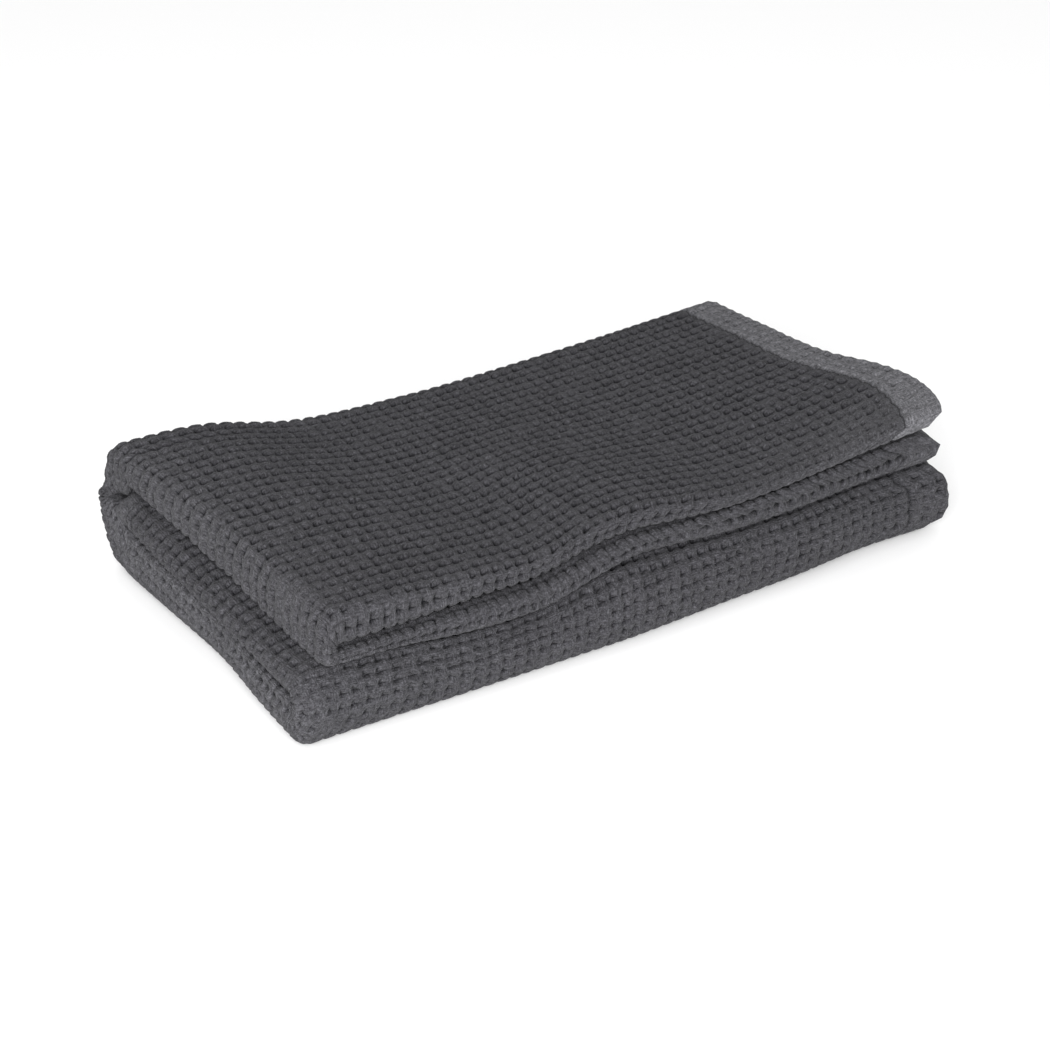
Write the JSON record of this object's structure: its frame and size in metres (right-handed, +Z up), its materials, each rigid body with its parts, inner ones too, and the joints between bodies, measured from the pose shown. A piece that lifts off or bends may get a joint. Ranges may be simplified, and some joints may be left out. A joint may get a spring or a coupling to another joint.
{
  "type": "folded waffle weave blanket",
  "caption": "Waffle weave cotton blanket with narrow stitched hems, folded into a low soft stack that lies flat on a shelf, bench or bed.",
  "frame": {"origin": "middle of the folded stack's footprint, on the surface that it lies on", "axes": "+X from the stack's rounded left end to its hemmed right end, +Y from its front to its back, +Z up"},
  "size_m": [0.5599, 0.3161, 0.1045],
  "materials": {
    "charcoal_cotton": "matt, charcoal grey waffle weave cotton, softly fuzzy"
  },
  "bodies": {
    "root": {"waffle_blanket": "charcoal_cotton"}
  },
  "joints": []
}
